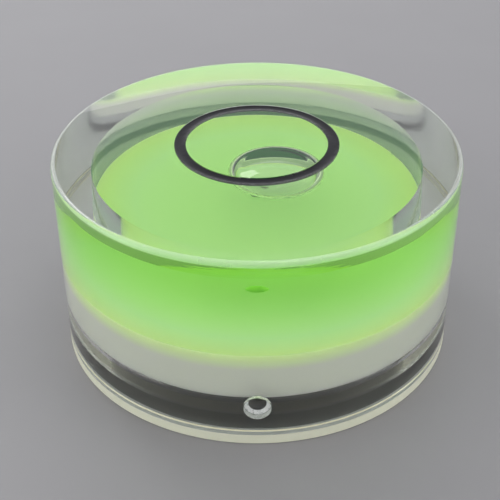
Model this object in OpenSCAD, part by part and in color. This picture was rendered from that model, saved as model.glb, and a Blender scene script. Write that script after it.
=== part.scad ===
// Bullseye level: a clear drum with a domed liquid chamber, a bubble, a sight ring,
// a white disc under the liquid and a clear base plug.
// Frame: millimetres, Z up, origin at the middle of the underside.

/* [Body] */
// Outer diameter of the drum and of the base flange
body_d = 30; // [28:0.5:40]
// Overall height, from the underside to the sight face
body_h = 15.3; // [14.5:0.1:20]
// Rounding of the rim round the sight face
rim_r = 0.35; // [0.1:0.05:0.5]
// Bevel on the outer edges at the base joint and at the underside
edge_bevel = 0.08; // [0.05:0.01:0.2]

/* [Chamber] */
// Thickness of the wall round the bore that holds the liquid, the disc and the plug
wall_t = 2.9; // [2.4:0.1:4]
// Thickness of the window at its centre
window_t = 1.8; // [1.4:0.05:2.2]
// Radius of the spherical dome ground into the chamber roof
dome_r = 130; // [80:10:400]

/* [White disc] */
// Thickness of the white disc
disc_t = 3.65; // [2.5:0.05:4]
// Diameter of the hole through its centre
disc_hole_d = 1.2; // [0.8:0.1:2]

/* [Base plug] */
// Thickness of the flange that closes the drum
flange_t = 1.25; // [1:0.05:2]
// Height of the spigot that stands in the bore
spigot_h = 1.6; // [1.2:0.1:2]
// Bevel round the upper edge of the spigot
spigot_bevel = 0.15; // [0.05:0.05:0.3]
// Width of the feed groove in the top of the spigot
feed_w = 1.2; // [0.8:0.1:1.6]
// Depth of the feed groove
feed_h = 0.5; // [0.3:0.05:0.8]

/* [Sight ring] */
// Outer diameter of the sight ring
ring_d = 12.2; // [10:0.1:16]
// Width of the ring
ring_w = 0.85; // [0.5:0.05:1.5]
// Depth of its groove in the sight face
ring_groove = 0.35; // [0.2:0.05:0.6]
// Depth of the ring's upper face below the sight face
ring_sink = 0.05; // [0.02:0.01:0.1]
// Place of the ring's centre along Y, a little behind the axis
ring_y = 0.65; // [-1:0.05:1]

/* [Bubble] */
// Diameter of the bubble
bubble_d = 7.1; // [5:0.1:8]
// Thickness of the bubble, which is flattened against the roof
bubble_t = 2.6; // [1.8:0.1:3]
// Thickness of the bubble's round rim
bubble_rim_t = 1.9; // [1.2:0.1:1.9]
// Place of the bubble to the right of the axis
bubble_x = 1.4; // [-2:0.1:2]
// Place of the bubble along Y
bubble_y = -1.3; // [-2:0.1:2]
// Liquid film between the bubble and the roof
bubble_film = 0.12; // [0.08:0.01:0.3]

/* [Filling port] */
// Diameter of the port through the wall
port_d = 1.9; // [1.4:0.1:2.2]
// Height of the port's axis above the top of the spigot
port_rise = 0.45; // [0.3:0.05:0.6]
// Depth of the plug's face below the drum's surface
plug_sink = 0.45; // [0.2:0.05:0.8]
// Depth of the hollow that the dried cement leaves in the plug's face
plug_dimple = 0.25; // [0.1:0.05:0.4]
// Rim left flat round the hollow
plug_lip = 0.1; // [0.05:0.05:0.2]

/* [Fits] */
// Cement film between pieces that are bonded to each other
bond = 0.02; // [0.01:0.01:0.04]

/* [Hidden] */
// Facets of the drum and the bore, of the dome's large circle and of the small rounds
$fn = 180;
dome_fn = 1440;
small_fn = 48;
// Overrun of a cut past the face that it opens
over = 0.5;

body_r = body_d / 2;
bore_r = body_r - wall_t;
// Heights of the joints, from the underside up
disc_z = flange_t + spigot_h;
floor_z = disc_z + disc_t;
port_z = disc_z + port_rise;
// Centre of the dome's sphere
dome_cz = body_h - window_t - dome_r;
ring_or = ring_d / 2;
ring_ir = ring_or - ring_w;
// The plug's face, and the ball that leaves its hollow
face_r = body_r - plug_sink;
dimple_half = port_d / 2 - bond - plug_lip;
dimple_ball = (dimple_half * dimple_half + plug_dimple * plug_dimple) / (2 * plug_dimple);
// The bubble's rim is a half round, and two flat caps of radius cap_s rise from it by cap_h
rim_half = bubble_rim_t / 2;
cap_r = bubble_d / 2 - rim_half;
cap_h = (bubble_t - bubble_rim_t) / 2;
cap_s = (cap_r * cap_r + cap_h * cap_h) / (2 * cap_h);
// Height of the bubble's middle, under the roof over its place
bubble_roof_z = dome_cz + sqrt(dome_r * dome_r - bubble_x * bubble_x - bubble_y * bubble_y);
bubble_z = bubble_roof_z - bubble_film - bubble_t / 2;

// A round chamber from z0 up to a dome of radius s
module chamber(r, z0, s) {
    rotate_extrude() intersection() {
        translate([0, z0]) square([r, body_h]);
        translate([0, dome_cz]) circle(r = s, $fn = dome_fn);
    }
}

// A round bar that runs towards the front, from the distance from_r out to to_r
module front_bar(d, from_r, to_r) {
    translate([0, -from_r, port_z]) rotate([90, 0, 0])
        cylinder(d = d, h = to_r - from_r, $fn = small_fn);
}

// A flat band round the ring's own centre
module ring_band(outer, inner, z0, z1) {
    translate([0, ring_y, 0]) rotate_extrude()
        translate([inner, z0]) square([outer - inner, z1 - z0]);
}

// A square channel from the axis to the front, its floor at z0 and its end at the distance reach
module feed_channel(w, reach, z0, h) {
    translate([0, 0, z0]) cylinder(d = w, h = h, $fn = small_fn);
    translate([-w / 2, -reach, z0]) cube([w, reach, h]);
}

// The drum's outer half section, bevelled at the joint and rounded at the rim
module drum_section() {
    polygon([
        [0, flange_t],
        [body_r - edge_bevel, flange_t],
        [body_r, flange_t + edge_bevel],
        [body_r, body_h - rim_r],
        [body_r - rim_r, body_h - rim_r],
        [body_r - rim_r, body_h],
        [0, body_h]
    ]);
    translate([body_r - rim_r, body_h - rim_r]) circle(r = rim_r, $fn = small_fn);
}

// The drum is turned from one piece, and its chamber roof is ground to the dome
module clear_body() {
    color([0.86, 0.90, 0.86, 0.45]) difference() {
        rotate_extrude() drum_section();
        chamber(bore_r, flange_t - over, dome_r);
        ring_band(ring_or, ring_ir, body_h - ring_groove, body_h + over);
        front_bar(port_d, bore_r - over, body_r + over);
    }
}

// The ring is filled into its groove and stands a little below the sight face
module sight_ring() {
    color([0.08, 0.08, 0.09])
        ring_band(ring_or - bond, ring_ir + bond, body_h - ring_groove, body_h - ring_sink);
}

// The bubble is widest at its round rim and flatter above and below
module bubble() {
    translate([bubble_x, bubble_y, bubble_z]) rotate_extrude() {
        translate([0, -rim_half]) square([cap_r, bubble_rim_t]);
        translate([cap_r, 0]) intersection() {
            circle(r = rim_half, $fn = small_fn);
            translate([-cap_r, -rim_half]) square([cap_r + rim_half, bubble_rim_t]);
        }
        intersection() {
            translate([0, -bubble_t / 2]) square([cap_r, bubble_t]);
            translate([0, bubble_t / 2 - cap_s]) circle(r = cap_s);
            translate([0, cap_s - bubble_t / 2]) circle(r = cap_s);
        }
    }
}

// The liquid fills the chamber, the disc's hole and the feed groove, round the bubble
module level_liquid() {
    low = disc_z - feed_h + bond;
    color([0.45, 0.85, 0.20, 0.7]) difference() {
        union() {
            chamber(bore_r - bond, floor_z, dome_r - bond);
            translate([0, 0, low])
                cylinder(d = disc_hole_d - 2 * bond, h = floor_z + over - low, $fn = small_fn);
            feed_channel(feed_w - 2 * bond, bore_r - 2 * bond, low, feed_h - 2 * bond);
        }
        bubble();
    }
}

// The disc closes the chamber from below, and its centre hole leads to the feed groove
module white_disc() {
    color([0.93, 0.94, 0.92]) difference() {
        translate([0, 0, disc_z]) cylinder(r = bore_r - bond, h = disc_t);
        translate([0, 0, disc_z - over])
            cylinder(d = disc_hole_d, h = disc_t + 2 * over, $fn = small_fn);
    }
}

module plug_section() {
    spigot_r = bore_r - bond;
    polygon([
        [0, 0],
        [body_r - edge_bevel, 0],
        [body_r, edge_bevel],
        [body_r, flange_t - edge_bevel],
        [body_r - edge_bevel, flange_t],
        [spigot_r, flange_t],
        [spigot_r, disc_z - spigot_bevel],
        [spigot_r - spigot_bevel, disc_z],
        [0, disc_z]
    ]);
}

// A flange as wide as the drum, and a spigot that reaches up to the disc
// The feed groove in its top joins the filling port to the disc's hole
module base_plug() {
    color([0.88, 0.92, 0.88, 0.5]) difference() {
        rotate_extrude() plug_section();
        feed_channel(feed_w, body_r, disc_z - feed_h, feed_h + over);
    }
}

// A clear pin cemented in the port, with a hollow in its outer face
module fill_plug() {
    color([0.90, 0.93, 0.88, 0.6]) difference() {
        front_bar(port_d - 2 * bond, bore_r + bond, face_r);
        translate([0, plug_dimple - face_r - dimple_ball, port_z]) sphere(r = dimple_ball);
    }
}

clear_body();
sight_ring();
level_liquid();
white_disc();
base_plug();
fill_plug();
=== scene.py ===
# Bullseye level: the looks of the clear drum, its green liquid, bubble, ring, disc and base.
# Z is up and the filling port faces -Y. Lengths are millimetres until a mesh is made.
# Lengths in a material are metres, and a texture's scale is in cycles a metre.
import math

import bpy
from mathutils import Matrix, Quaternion, Vector

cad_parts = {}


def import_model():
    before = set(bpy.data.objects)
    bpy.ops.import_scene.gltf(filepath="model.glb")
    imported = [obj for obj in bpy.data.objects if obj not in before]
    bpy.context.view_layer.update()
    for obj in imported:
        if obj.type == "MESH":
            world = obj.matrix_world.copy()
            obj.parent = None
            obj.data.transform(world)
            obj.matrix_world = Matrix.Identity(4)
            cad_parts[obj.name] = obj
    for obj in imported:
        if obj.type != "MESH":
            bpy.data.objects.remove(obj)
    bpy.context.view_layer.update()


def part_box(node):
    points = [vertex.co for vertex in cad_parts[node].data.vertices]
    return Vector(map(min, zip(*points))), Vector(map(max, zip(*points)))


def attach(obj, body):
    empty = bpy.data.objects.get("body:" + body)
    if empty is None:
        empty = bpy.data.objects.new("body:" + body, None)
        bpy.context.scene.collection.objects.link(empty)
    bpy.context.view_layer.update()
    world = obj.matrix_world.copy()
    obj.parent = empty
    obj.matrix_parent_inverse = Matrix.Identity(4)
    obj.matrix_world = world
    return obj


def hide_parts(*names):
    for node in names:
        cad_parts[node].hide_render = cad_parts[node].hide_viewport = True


MM = 0.001
MICRON = 0.000001
SEGMENTS = 256
FINE_SEGMENTS = 96
SHARP_ANGLE = math.radians(30)

# Shapes that a node's box doesn't give, as the solids have them
BOND = 0.02
RIM_R = 0.35
BEVEL = 0.08
DOME_R = 130.0
RING_W = 0.85
HOLE_R = 0.6
FEED_W = 1.2
FEED_H = 0.5
BUBBLE_X, BUBBLE_Y = 1.4, -1.3
BUBBLE_R = 3.55
BUBBLE_T = 2.6
BUBBLE_RIM_T = 1.9
BUBBLE_FILM = 0.12
PORT_R = 0.95
PLUG_DIMPLE = 0.25
PLUG_LIP = 0.1
SPIGOT_BEVEL = 0.15

# Clearance that keeps two faces in optical contact apart in the mesh
SKIN = 0.01
# Size of the bubble's skin against the hollow in the liquid round it
SKIN_SCALE = 0.995
# Overrun of a cut past the face that it opens
OVER = 1.0
# Depth of the hollow along the top of the ring's filling
MENISCUS = 0.05
# Height of the sawn part of the flange's edge
SAWN_H = 0.85
# Distance from the bore's radius out to the ground rim of the foot
GROUND_GAP = 0.1
# Part of the hollow in the port pin's face, from its middle, that is clear
CLEAR_SHARE = 0.75

# Refractive indices of the acrylic and the liquid, and of a joint that doesn't bend light
N_ACRYLIC = 1.49
N_LIQUID = 1.415
N_JOINT = 1.0

# The liquid's colour and how fast it absorbs
LIQUID_COLOUR = (0.55, 0.94, 0.0)
LIQUID_DENSITY = 84.0

# Painted green glow: emission on the chamber wall and the disc stands in for the light that the dyed
# liquid scatters.
# The chamber wall's painted glow starts at the first height and is full at the second.
PAINTED_WALL_GLOW_COLOUR = (0.08, 1.0, 0.16)
PAINTED_WALL_GLOW_HEIGHTS = (0.0140, 0.0105)
PAINTED_WALL_GLOW = 0.06
PAINTED_DISC_TOP_GLOW_COLOUR = (0.05, 1.0, 0.05)
PAINTED_DISC_TOP_GLOW = 0.06
PAINTED_DISC_EDGE_GLOW_COLOUR = (0.30, 1.0, 0.12)
PAINTED_DISC_EDGE_GLOW = 0.19

# White plastic with a painted green-yellow tint for light from the liquid (the side is tinted
# greenish all over), and the width and height of the disc's parts where the painted tint grows
DISC_TOP_WHITE_AND_PAINTED_TINT = (0.89, 0.905, 0.88), (0.95, 0.91, 0.50)
DISC_SIDE_PAINTED_TINTS = (0.89, 0.93, 0.78), (0.88, 0.98, 0.50)
TOP_PAINTED_TINT_W = 3.0
SIDE_PAINTED_TINT_H = 1.25

# The photograph's camera, in drum radii and pixels of its 500 by 500 frame
FRAME_PX = 500
CAMERA_DISTANCE = 5.421
CAMERA_ELEVATION = math.radians(33.46)
CAMERA_FOCAL_PX = 1051.2
CAMERA_ROLL = 0.0023
CAMERA_CENTRE_PX = (7.07, -16.9)
CAMERA_AIM_Z = 0.5105
SENSOR_MM = 36.0

# The stage: the floor's half width, its two greys, the sky and the lamps
FLOOR_HALF = 400.0
FLOOR_COLOURS = (0.225, 0.216, 0.222), (0.25, 0.241, 0.247)
SKY_COLOUR = (0.80, 0.82, 0.85)
SKY_STRENGTH = 1.15
LAMP_AIM = Vector((0.0, 0.0, 0.007))
# Each lamp's name, place, width and height in metres, and power in watts
LAMPS = (
    ("window_light", (-0.30, 0.92, 0.27), 1.0, 0.3, 0.6),
    ("key_light", (-0.25, 0.30, 0.35), 0.15, 0.15, 0.4),
    ("left_light", (-0.40, -0.12, 0.16), 0.25, 0.2, 0.45),
    ("right_light", (0.40, -0.12, 0.16), 0.25, 0.2, 0.35),
    ("top_light", (0.1, 0.0, 0.5), 0.2, 0.2, 0.3),
)


def node_span(node, axis):
    """Lowest and highest coordinate of a CAD node along an axis, in millimetres."""
    low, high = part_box(node)
    return low[axis] / MM, high[axis] / MM


class Sizes:
    """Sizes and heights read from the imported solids."""

    def __init__(self):
        self.body_r = node_span("clear_body", 0)[1]
        self.flange_z, self.top_z = node_span("clear_body", 2)
        self.disc_r = node_span("white_disc", 0)[1]
        self.bore_r = self.disc_r + BOND
        self.disc_z, self.floor_z = node_span("white_disc", 2)
        self.roof_z = node_span("level_liquid", 2)[1] + BOND
        self.ring_r = node_span("sight_ring", 0)[1] + BOND
        self.ring_y = sum(node_span("sight_ring", 1)) / 2
        self.groove_z, self.ring_z = node_span("sight_ring", 2)
        self.pin_reach = -node_span("fill_plug", 1)[0]
        self.port_z = sum(node_span("fill_plug", 2)) / 2

    def roof_at(self, r):
        """Height of the chamber's domed roof at the distance r from the axis."""
        return self.roof_z - DOME_R + math.sqrt(DOME_R * DOME_R - r * r)


def shade(mesh):
    """Smooth shading that keeps the edges sharp."""
    mesh.shade_smooth()
    mesh.set_sharp_from_angle(angle=SHARP_ANGLE)


def make_mesh(name, verts, faces, materials, face_slots):
    """An object with these vertices in millimetres and one material slot a face."""
    mesh = bpy.data.meshes.new(name)
    mesh.from_pydata([(x * MM, y * MM, z * MM) for x, y, z in verts], [], faces)
    for material in materials:
        mesh.materials.append(material)
    mesh.polygons.foreach_set("material_index", face_slots)
    mesh.update()
    shade(mesh)
    piece = bpy.data.objects.new(name, mesh)
    bpy.context.scene.collection.objects.link(piece)
    return piece


def revolve(name, profile, materials, centre=(0.0, 0.0), segments=SEGMENTS):
    """A closed turned solid. The profile's points are (r, z, slot of the face that starts there)."""
    verts, faces, slots, rings = [], [], [], []
    for r, z, _ in profile:
        if r <= 0.0:
            rings.append([len(verts)] * segments)
            verts.append((centre[0], centre[1], z))
            continue
        rings.append(list(range(len(verts), len(verts) + segments)))
        for i in range(segments):
            angle = 2 * math.pi * i / segments
            verts.append((centre[0] + r * math.cos(angle), centre[1] + r * math.sin(angle), z))
    for k, point in enumerate(profile):
        lower, upper = rings[k], rings[(k + 1) % len(profile)]
        if lower[0] == lower[-1] and upper[0] == upper[-1]:
            continue
        for i in range(segments):
            j = (i + 1) % segments
            corners = [lower[i], lower[j], upper[j], upper[i]]
            faces.append(list(dict.fromkeys(corners)))
            slots.append(point[2])
    return make_mesh(name, verts, faces, materials, slots)


def arc(cx, cz, radius, start, end, steps, slot):
    """Profile points along an arc, angles in degrees from the outward direction."""
    points = []
    for i in range(steps + 1):
        angle = math.radians(start + (end - start) * i / steps)
        points.append((cx + radius * math.cos(angle), cz + radius * math.sin(angle), slot))
    return points


def block(name, low, high, material):
    """A box between two corners."""
    corners = [(x, y, z) for z in (low[2], high[2])
               for y in (low[1], high[1]) for x in (low[0], high[0])]
    faces = [(0, 2, 3, 1), (4, 5, 7, 6), (0, 1, 5, 4), (2, 6, 7, 3), (0, 4, 6, 2), (1, 3, 7, 5)]
    return make_mesh(name, corners, faces, [material], [0] * len(faces))


def cut(piece, cutter):
    """Takes the cutter's shape out of the piece. The new faces keep the cutter's materials."""
    modifier = piece.modifiers.new("cut", "BOOLEAN")
    modifier.operation = "DIFFERENCE"
    modifier.object = cutter
    modifier.solver = "EXACT"
    modifier.material_mode = "TRANSFER"
    graph = bpy.context.evaluated_depsgraph_get()
    result = bpy.data.meshes.new_from_object(piece.evaluated_get(graph))
    piece.modifiers.clear()
    piece.data = result
    bpy.data.objects.remove(cutter)


def new_material(name):
    """An empty node material: its tree, its output node and itself."""
    material = bpy.data.materials.new(name)
    material.use_nodes = True
    tree = material.node_tree
    tree.nodes.clear()
    return tree, tree.nodes.new("ShaderNodeOutputMaterial"), material


def principled(tree, output, **values):
    """A Principled shader on the surface, with inputs set by name."""
    shader = tree.nodes.new("ShaderNodeBsdfPrincipled")
    for name, value in values.items():
        shader.inputs[name.replace("_", " ")].default_value = value
    tree.links.new(shader.outputs["BSDF"], output.inputs["Surface"])
    return shader


def object_coords(tree, scale):
    """Object coordinates stretched by a scale for each axis."""
    coords = tree.nodes.new("ShaderNodeTexCoord")
    mapping = tree.nodes.new("ShaderNodeMapping")
    mapping.inputs["Scale"].default_value = scale
    tree.links.new(coords.outputs["Object"], mapping.inputs["Vector"])
    return mapping.outputs["Vector"]


def axis_distance(tree):
    """Distance from the drum's axis."""
    length = tree.nodes.new("ShaderNodeVectorMath")
    length.operation = "LENGTH"
    tree.links.new(object_coords(tree, (1.0, 1.0, 0.0)), length.inputs[0])
    return length.outputs["Value"]


def height(tree):
    """Height above the underside."""
    split = tree.nodes.new("ShaderNodeSeparateXYZ")
    tree.links.new(object_coords(tree, (1.0, 1.0, 1.0)), split.inputs["Vector"])
    return split.outputs["Z"]


def noise(tree, scale, detail=3.0, roughness=0.55):
    """Noise over the object, with a scale for each axis."""
    texture = tree.nodes.new("ShaderNodeTexNoise")
    texture.inputs["Scale"].default_value = 1.0
    texture.inputs["Detail"].default_value = detail
    texture.inputs["Roughness"].default_value = roughness
    tree.links.new(object_coords(tree, scale), texture.inputs["Vector"])
    return texture.outputs["Fac"]


def turning_marks(tree):
    """Fine rings round the axis, as a lathe leaves them."""
    texture = tree.nodes.new("ShaderNodeTexNoise")
    texture.noise_dimensions = "1D"
    texture.inputs["Scale"].default_value = 2600
    texture.inputs["Detail"].default_value = 3.0
    tree.links.new(axis_distance(tree), texture.inputs["W"])
    return texture.outputs["Fac"]


def ramp(tree, value, low, high, low_value, high_value):
    """Maps the range low to high of a value onto another range, clamped."""
    node = tree.nodes.new("ShaderNodeMapRange")
    node.inputs["From Min"].default_value = low
    node.inputs["From Max"].default_value = high
    node.inputs["To Min"].default_value = low_value
    node.inputs["To Max"].default_value = high_value
    tree.links.new(value, node.inputs["Value"])
    return node.outputs["Result"]


def colour_mix(tree, value, first, second):
    """The first colour where the value is 0, and the second where it is 1."""
    node = tree.nodes.new("ShaderNodeMix")
    node.data_type = "RGBA"
    node.inputs["A"].default_value = (*first, 1.0)
    node.inputs["B"].default_value = (*second, 1.0)
    tree.links.new(value, node.inputs["Factor"])
    return node.outputs["Result"]


def bump(tree, shader, texture, depth):
    """Raises the surface by the texture, up to the depth."""
    node = tree.nodes.new("ShaderNodeBump")
    node.inputs["Distance"].default_value = depth
    node.inputs["Strength"].default_value = 1.0
    tree.links.new(texture, node.inputs["Height"])
    tree.links.new(node.outputs["Normal"], shader.inputs["Normal"])


def clear_plastic(name, ior, tint, transmission):
    """Clear plastic face without any texture."""
    tree, output, material = new_material(name)
    shader = principled(tree, output, Base_Color=(*tint, 1.0), IOR=ior,
                        Transmission_Weight=transmission)
    return tree, shader, material


def glass(name, ior):
    """Polished clear face. Its roughness has a faint haze that varies over the piece."""
    tree, shader, material = clear_plastic(name, ior, (1.0, 1.0, 1.0), 1.0)
    haze = ramp(tree, noise(tree, (400, 400, 400)), 0.55, 0.8, 0.0, 0.03)
    tree.links.new(haze, shader.inputs["Roughness"])
    return tree, shader, material


def frosted(name, tint, transmission, roughness, marks, depth):
    """Clear plastic with a rough surface: part of the light passes and the rest is scattered.
    The texture that marks makes varies the roughness and stands up by the depth."""
    tree, shader, material = clear_plastic(name, N_ACRYLIC, tint, transmission)
    texture = marks(tree)
    tree.links.new(ramp(tree, texture, 0.3, 0.7, *roughness), shader.inputs["Roughness"])
    bump(tree, shader, texture, depth)
    return material


def wall_material():
    """Turned side of the drum: polished acrylic with fine turning lines round it."""
    tree, shader, material = glass("acrylic_side", N_ACRYLIC)
    lines = noise(tree, (60, 60, 5200), detail=2.0, roughness=0.7)
    bump(tree, shader, lines, 2.5 * MICRON)
    return material


def face_material():
    """Sight face: polished acrylic with a few faint handling scratches."""
    tree, shader, material = glass("acrylic_face", N_ACRYLIC)
    scratches = noise(tree, (2200, 180, 600), detail=4.0)
    bump(tree, shader, ramp(tree, scratches, 0.66, 0.74, 1.0, 0.0), 1.2 * MICRON)
    return material


def rim_material():
    """Rounded rim, rubbed slightly dull."""
    def marks(tree):
        return noise(tree, (1500, 1500, 1500), detail=4.0)
    return frosted("rubbed_rim", (0.95, 0.97, 0.95), 0.8, (0.12, 0.28), marks, 1.2 * MICRON)


def joint_material():
    """Face that is bonded to its neighbour, so light crosses it without bending."""
    return glass("bonded_face", N_JOINT)[2]


def channel_material():
    """Walls of the feed groove, where the acrylic meets the liquid."""
    return glass("wetted_channel", N_ACRYLIC / N_LIQUID)[2]


def wet_material():
    """Chamber wall and roof, where the acrylic meets the liquid. The lower part has a faint painted
    green glow.
    """
    tree, shader, material = glass("wetted_wall", N_ACRYLIC / N_LIQUID)
    # Painted glow: green emission that grows down the wall, in place of light scattered in the liquid
    shader.inputs["Emission Color"].default_value = (*PAINTED_WALL_GLOW_COLOUR, 1.0)
    painted_glow = ramp(tree, height(tree), *PAINTED_WALL_GLOW_HEIGHTS, 0.0, PAINTED_WALL_GLOW)
    tree.links.new(painted_glow, shader.inputs["Emission Strength"])
    return material


def liquid_material():
    """Green dyed oil: clear surface, coloured by what it absorbs."""
    tree, _, material = glass("green_liquid", 1.0)
    volume = tree.nodes.new("ShaderNodeVolumeAbsorption")
    volume.inputs["Color"].default_value = (*LIQUID_COLOUR, 1.0)
    volume.inputs["Density"].default_value = LIQUID_DENSITY
    output = tree.nodes["Material Output"]
    tree.links.new(volume.outputs["Volume"], output.inputs["Volume"])
    return material


def bubble_material():
    """The bubble's skin, seen from inside the liquid."""
    return glass("bubble_skin", N_LIQUID)[2]


def ring_material():
    """Black enamel filled into the groove, glossy with a slightly uneven top."""
    tree, output, material = new_material("black_enamel")
    shader = principled(tree, output, Specular_IOR_Level=0.14)
    patches = noise(tree, (900, 900, 900))
    tree.links.new(colour_mix(tree, patches, (0.003, 0.003, 0.004), (0.014, 0.012, 0.016)),
                   shader.inputs["Base Color"])
    tree.links.new(ramp(tree, patches, 0.3, 0.7, 0.08, 0.2), shader.inputs["Roughness"])
    bump(tree, shader, noise(tree, (2500, 2500, 2500)), 20 * MICRON)
    return material


def opal(name, spread, colours, reach, start, end):
    """Opal white plastic with a painted tint for light from the liquid, growing where reach goes from
    start to end.
    """
    tree, output, material = new_material(name)
    shader = principled(tree, output, Subsurface_Weight=0.8, Subsurface_Scale=spread,
                        Subsurface_Radius=(1.0, 1.0, 1.0), Specular_IOR_Level=0.3)
    # Painted tint: the base colour moves from the first colour to the second, for light from the
    # liquid
    tint = ramp(tree, reach(tree), start, end, 0.0, 1.0)
    tree.links.new(colour_mix(tree, tint, *colours), shader.inputs["Base Color"])
    patches = noise(tree, (350, 350, 350))
    tree.links.new(ramp(tree, patches, 0.3, 0.7, 0.35, 0.5), shader.inputs["Roughness"])
    return tree, shader, material


def disc_top_material(s):
    """Top of the disc, with a painted yellow tint towards its edge and a faint even painted green
    glow, both for light from the liquid.
    """
    start = (s.disc_r - TOP_PAINTED_TINT_W) * MM
    _, shader, material = opal("opal_top", 0.0012, DISC_TOP_WHITE_AND_PAINTED_TINT, axis_distance,
                               start, s.disc_r * MM)
    # Painted glow, even over the whole top
    shader.inputs["Emission Color"].default_value = (*PAINTED_DISC_TOP_GLOW_COLOUR, 1.0)
    shader.inputs["Emission Strength"].default_value = PAINTED_DISC_TOP_GLOW
    return material


def disc_side_material(s):
    """Side of the disc, with a painted greenish tint that grows towards its upper part, and a faint
    painted green glow towards the liquid.
    """
    start, end = (s.floor_z - SIDE_PAINTED_TINT_H) * MM, s.floor_z * MM
    tree, shader, material = opal("opal_side", 0.0008, DISC_SIDE_PAINTED_TINTS, height, start, end)
    # Painted glow, growing up the side towards the liquid
    shader.inputs["Emission Color"].default_value = (*PAINTED_DISC_EDGE_GLOW_COLOUR, 1.0)
    tree.links.new(ramp(tree, height(tree), start, end, 0.0, PAINTED_DISC_EDGE_GLOW),
                   shader.inputs["Emission Strength"])
    return material


def disc_underside_material():
    """Dull underside of the disc, painted dark grey-brown as the shade under it, with the marks that
    turning left on it.
    """
    tree, output, material = new_material("disc_underside_painted_shade")
    shader = principled(tree, output, Roughness=0.6, Specular_IOR_Level=0.2)
    marks = turning_marks(tree)
    # Painted shade: dark grey-brown in place of the white plastic, varied by the turning marks
    tree.links.new(colour_mix(tree, marks, (0.12, 0.11, 0.08), (0.30, 0.28, 0.20)),
                   shader.inputs["Base Color"])
    return material


def sawn_material():
    """Edge of the base flange, left as the saw cut it: frosted, with upright marks."""
    def marks(tree):
        return noise(tree, (6500, 6500, 700), detail=2.0, roughness=0.5)
    return frosted("sawn_edge", (0.93, 0.92, 0.72), 0.4, (0.3, 0.5), marks, 16 * MICRON)


def ground_foot_material():
    """Lapped rim of the underside on which the level stands."""
    def marks(tree):
        return noise(tree, (1600, 1600, 1600), detail=5.0)
    return frosted("ground_foot", (0.93, 0.94, 0.91), 0.3, (0.35, 0.6), marks, 10 * MICRON)


def foot_material():
    """Middle of the underside: half clear, with turning marks that scatter some light."""
    return frosted("base_foot", (0.93, 0.94, 0.90), 0.75, (0.05, 0.2), turning_marks, 2 * MICRON)


def drilled_material(name, transmission):
    """Drilled wall of the port or the dried rim of its cement, both frosted."""
    def marks(tree):
        return noise(tree, (2600, 2600, 2600))
    return frosted(name, (0.95, 0.96, 0.93), transmission, (0.2, 0.4), marks, 10 * MICRON)


def seam_material():
    """Cement that fills the bevels along the flange's joint."""
    tree, output, material = new_material("seam_cement")
    shader = principled(tree, output, Roughness=0.3, Specular_IOR_Level=0.5)
    patches = noise(tree, (900, 900, 900))
    tree.links.new(colour_mix(tree, patches, (0.50, 0.48, 0.30), (0.80, 0.78, 0.58)),
                   shader.inputs["Base Color"])
    return material


def cement_material():
    """Clear pin under a dried drop of cement."""
    tree, shader, material = glass("port_cement", N_ACRYLIC)
    bump(tree, shader, noise(tree, (3000, 3000, 3000)), 30 * MICRON)
    return material


def drum_profile(s):
    """The drum's half section. Slots: side, face, wetted, bonded, seam and rim."""
    side, face, wet, bonded, seam, rim = range(6)
    low = s.flange_z + SKIN
    port_low, port_high = s.port_z - 2 * PORT_R, s.port_z + 2 * PORT_R
    points = [(s.bore_r, low, bonded), (s.body_r - BEVEL, low, seam)]
    points += [(s.body_r, low + BEVEL, side), (s.body_r, port_low, side)]
    points.append((s.body_r, port_high, side))
    points += arc(s.body_r - RIM_R, s.top_z - RIM_R, RIM_R, 0, 90, 8, rim)
    points[-1] = (*points[-1][:2], face)
    points.append((0.0, s.top_z, face))
    steps = 24
    reaches = [s.bore_r * i / steps for i in range(steps + 1)]
    points += [(r, s.roof_at(r), wet) for r in reaches]
    points += [(s.bore_r, s.floor_z, bonded), (s.bore_r, port_high, bonded)]
    points.append((s.bore_r, s.disc_z, side))
    return points


def port_cutter(s, shared):
    """The filling port through the drum's wall: frosted outside the pin, bonded along it."""
    drilled, bonded = range(2)
    inner, outer = s.bore_r - OVER, s.body_r + OVER
    profile = [(0.0, inner, bonded), (PORT_R, inner, bonded), (PORT_R, s.pin_reach, drilled)]
    profile += [(PORT_R, outer, drilled), (0.0, outer, drilled)]
    materials = [shared["drilled"], shared["joint"]]
    cutter = revolve("port_cutter", profile, materials, segments=FINE_SEGMENTS)
    cutter.rotation_euler = (math.radians(90), 0.0, 0.0)
    cutter.location = (0.0, 0.0, s.port_z * MM)
    return cutter


def ring_cutter(s, shared):
    """The groove for the sight ring."""
    inner = s.ring_r - RING_W
    profile = [(inner, s.groove_z, 0), (s.ring_r, s.groove_z, 0)]
    profile += [(s.ring_r, s.top_z + OVER, 0), (inner, s.top_z + OVER, 0)]
    return revolve("ring_cutter", profile, [shared["joint"]], centre=(0.0, s.ring_y))


def smooth_walls(piece, s):
    """Gives the drum's outer and inner walls the normals of true cylinders round the cut."""
    upright = 0.01
    near = 0.05
    mesh = piece.data
    shade(mesh)
    normals = [Vector(corner.vector) for corner in mesh.corner_normals]
    for face in mesh.polygons:
        reach = math.hypot(face.center.x, face.center.y) / MM
        outward = face.normal.x * face.center.x + face.normal.y * face.center.y
        off_wall = min(abs(reach - s.body_r), abs(reach - s.bore_r)) > near
        if abs(face.normal.z) >= upright or off_wall:
            continue
        for corner in face.loop_indices:
            point = mesh.vertices[mesh.loops[corner].vertex_index].co
            radial = Vector((point.x, point.y, 0.0)).normalized()
            normals[corner] = radial if outward > 0 else -radial
    mesh.normals_split_custom_set(normals)


def make_drum(s, shared):
    """The drum with its bore, domed roof, filling port and ring groove."""
    materials = [shared[slot] for slot in ("side", "face", "wet", "joint", "seam", "rim")]
    drum = revolve("drum", drum_profile(s), materials)
    cut(drum, port_cutter(s, shared))
    cut(drum, ring_cutter(s, shared))
    smooth_walls(drum, s)
    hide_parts("clear_body")
    return drum


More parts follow.
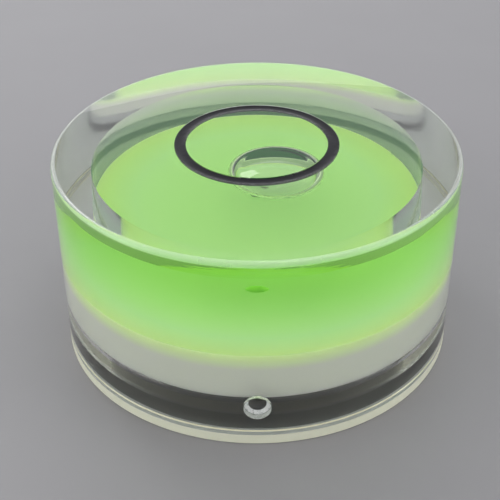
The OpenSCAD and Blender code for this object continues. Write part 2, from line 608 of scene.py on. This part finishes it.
def make_ring(s):
    """The ring's top is a shallow meniscus that climbs the groove's walls."""
    outer = s.ring_r - SKIN
    inner = s.ring_r - RING_W + SKIN
    low = s.groove_z + SKIN
    steps = 8
    profile = [(inner, low, 0), (outer, low, 0)]
    for i in range(steps + 1):
        across = 1 - 2 * i / steps
        z = s.ring_z - MENISCUS * (1 - across * across)
        profile.append((inner + (outer - inner) * (across + 1) / 2, z, 0))
    ring = revolve("ring_filling", profile, [ring_material()], centre=(0.0, s.ring_y))
    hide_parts("sight_ring")
    return ring


def bubble_profile(scale):
    """Half section of the bubble round its own middle: two flat caps on a round rim."""
    rim_half = BUBBLE_RIM_T / 2
    cap_r = BUBBLE_R - rim_half
    cap_h = (BUBBLE_T - BUBBLE_RIM_T) / 2
    cap_s = (cap_r * cap_r + cap_h * cap_h) / (2 * cap_h)
    middle = cap_s - BUBBLE_T / 2
    steps = 12
    reaches = [cap_r * i / steps for i in range(steps)]
    lower = [(r, middle - math.sqrt(cap_s * cap_s - r * r)) for r in reaches]
    upper = [(r, -z) for r, z in reversed(lower)]
    rim = [(r, z) for r, z, _ in arc(cap_r, 0.0, rim_half, -90, 90, 16, 0)]
    return [(r * scale, z * scale, 0) for r, z in lower + rim + upper]


def bubble_shell(name, s, scale, material):
    """The bubble's surface, turned inside out so that it faces the air in it."""
    middle = s.roof_at(math.hypot(BUBBLE_X, BUBBLE_Y)) - BUBBLE_FILM - BUBBLE_T / 2
    profile = [(r, middle + z, slot) for r, z, slot in bubble_profile(scale)]
    shell = revolve(name, profile, [material], centre=(BUBBLE_X, BUBBLE_Y),
                    segments=FINE_SEGMENTS * 2)
    shell.data.flip_normals()
    return shell


def make_liquid(s):
    """The liquid fills the chamber, the disc's hole and the feed groove, round the bubble."""
    material = liquid_material()
    outer = s.bore_r - SKIN
    low = s.floor_z + SKIN
    hole_r = HOLE_R - SKIN
    steps = 24
    reaches = [outer * i / steps for i in range(steps + 1)]
    roof = [(r, s.roof_at(r) - SKIN, 0) for r in reaches]
    column_z = s.disc_z - FEED_H + BOND
    profile = [(0.0, column_z, 0), (hole_r, column_z, 0), (hole_r, low, 0)]
    profile += [(outer, low, 0)] + roof[::-1]
    liquid = revolve("liquid", profile, [material])
    hollow = bubble_shell("hollow", s, 1.0, material)
    half = FEED_W / 2 - BOND
    channel = block("channel", (-half, -s.bore_r + 2 * BOND, column_z),
                    (half, -HOLE_R, s.disc_z - BOND), material)
    parts = [liquid, hollow, channel]
    with bpy.context.temp_override(active_object=liquid, selected_editable_objects=parts):
        bpy.ops.object.join()
    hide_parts("level_liquid")
    return liquid


def make_bubble(s):
    """The skin of the air bubble, just inside the hollow in the liquid."""
    skin = bubble_shell("bubble", s, SKIN_SCALE, bubble_material())
    return skin


def make_disc(s):
    """White disc with its centre hole."""
    top, side, under = range(3)
    profile = [(HOLE_R, s.disc_z, under), (s.disc_r, s.disc_z, side), (s.disc_r, s.floor_z, top)]
    profile.append((HOLE_R, s.floor_z, side))
    materials = [disc_top_material(s), disc_side_material(s), disc_underside_material()]
    disc = revolve("disc", profile, materials)
    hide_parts("white_disc")
    return disc


def make_base(s, shared):
    """Stepped plug: its flange is bonded to the drum, and its spigot has air round it."""
    sawn, foot, ground, bonded, seam, side = range(6)
    spigot_r = s.bore_r - SKIN
    top = s.disc_z - SKIN
    profile = [(0.0, 0.0, foot), (s.bore_r + GROUND_GAP, 0.0, ground)]
    profile += [(s.body_r - BEVEL, 0.0, sawn), (s.body_r, BEVEL, sawn), (s.body_r, SAWN_H, side)]
    profile += [(s.body_r, s.flange_z - BEVEL, seam), (s.body_r - BEVEL, s.flange_z, bonded)]
    profile += [(spigot_r, s.flange_z, side), (spigot_r, top - SPIGOT_BEVEL, side)]
    profile += [(spigot_r - SPIGOT_BEVEL, top, bonded), (0.0, top, bonded)]
    materials = [sawn_material(), foot_material(), ground_foot_material()]
    materials += [shared["joint"], shared["seam"], shared["side"]]
    base = revolve("base", profile, materials)
    cut(base, block("channel_cutter", (-FEED_W / 2, -s.body_r, s.disc_z - FEED_H),
                    (FEED_W / 2, 0.0, s.disc_z + OVER), channel_material()))
    base.data.set_sharp_from_angle(angle=SHARP_ANGLE)
    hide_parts("base_plug")
    return base


def make_port_pin(s, shared):
    """The pin that closes the port, with the hollow that the cement left in its face."""
    bonded, cement, rim = range(3)
    start = s.bore_r + BOND
    radius = PORT_R - BOND
    half = radius - PLUG_LIP
    ball = (half * half + PLUG_DIMPLE * PLUG_DIMPLE) / (2 * PLUG_DIMPLE)
    steps = 12
    profile = [(0.0, start, bonded), (radius, start, bonded), (radius, s.pin_reach, rim)]
    for r in [half * i / steps for i in range(steps, -1, -1)]:
        depth = PLUG_DIMPLE - ball + math.sqrt(ball * ball - r * r)
        slot = rim if r > CLEAR_SHARE * half else cement
        profile.append((r, s.pin_reach - depth, slot))
    materials = [shared["joint"], cement_material(), drilled_material("cement_rim", 0.3)]
    pin = revolve("port_pin", profile, materials, segments=FINE_SEGMENTS)
    # Turned upright round Z, then laid along -Y at the port's height
    for vertex in pin.data.vertices:
        x, y, z = vertex.co
        vertex.co = (x, -z, y + s.port_z * MM)
    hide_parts("fill_plug")
    return pin


def make_camera(s):
    """The photograph's camera: it looks at the drum's middle from the front and above."""
    back = Vector((0.0, -math.cos(CAMERA_ELEVATION), math.sin(CAMERA_ELEVATION)))
    data = bpy.data.cameras.new("camera")
    camera = bpy.data.objects.new("camera", data)
    bpy.context.scene.collection.objects.link(camera)
    aim = Vector((0.0, 0.0, CAMERA_AIM_Z))
    camera.location = (aim + CAMERA_DISTANCE * back) * s.body_r * MM
    camera.rotation_mode = "QUATERNION"
    roll = Quaternion((0.0, 0.0, 1.0), -CAMERA_ROLL)
    camera.rotation_quaternion = (-back).to_track_quat("-Z", "Y") @ roll
    data.sensor_fit = "HORIZONTAL"
    data.sensor_width = SENSOR_MM
    data.lens = SENSOR_MM * CAMERA_FOCAL_PX / FRAME_PX
    data.shift_x = -CAMERA_CENTRE_PX[0] / FRAME_PX
    data.shift_y = CAMERA_CENTRE_PX[1] / FRAME_PX
    data.clip_start = 0.001
    bpy.context.scene.camera = camera


def make_lamp(name, place, width, depth, power):
    """A soft area light aimed at the middle of the level."""
    data = bpy.data.lights.new(name, "AREA")
    data.shape = "RECTANGLE"
    data.energy = power
    data.size = width
    data.size_y = depth
    light = bpy.data.objects.new(name, data)
    light.location = place
    light.rotation_mode = "QUATERNION"
    light.rotation_quaternion = (LAMP_AIM - Vector(place)).to_track_quat("-Z", "Y")
    bpy.context.scene.collection.objects.link(light)


def make_stage():
    """Plain floor, soft world light and soft lamps."""
    tree, output, material = new_material("stage_floor")
    shader = principled(tree, output, Roughness=0.45)
    speckle = noise(tree, (60, 60, 60))
    tree.links.new(colour_mix(tree, speckle, *FLOOR_COLOURS), shader.inputs["Base Color"])
    half = FLOOR_HALF
    corners = [(-half, -half, -SKIN), (half, -half, -SKIN), (half, half, -SKIN), (-half, half, -SKIN)]
    make_mesh("stage_floor", corners, [(0, 1, 2, 3)], [material], [0])
    world = bpy.data.worlds.new("studio")
    world.use_nodes = True
    sky = world.node_tree.nodes["Background"]
    sky.inputs["Color"].default_value = (*SKY_COLOUR, 1.0)
    sky.inputs["Strength"].default_value = SKY_STRENGTH
    bpy.context.scene.world = world
    for lamp in LAMPS:
        make_lamp(*lamp)


def main():
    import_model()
    sizes = Sizes()
    shared = {"side": wall_material(), "face": face_material(), "wet": wet_material(),
              "joint": joint_material(), "seam": seam_material(),
              "drilled": drilled_material("drilled_wall", 0.85), "rim": rim_material()}
    pieces = [make_drum(sizes, shared), make_ring(sizes), make_liquid(sizes), make_bubble(sizes),
              make_disc(sizes), make_base(sizes, shared), make_port_pin(sizes, shared)]
    for piece in pieces:
        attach(piece, "root")
    make_camera(sizes)
    make_stage()
    view = bpy.context.scene.view_settings
    view.view_transform = "Standard"


main()
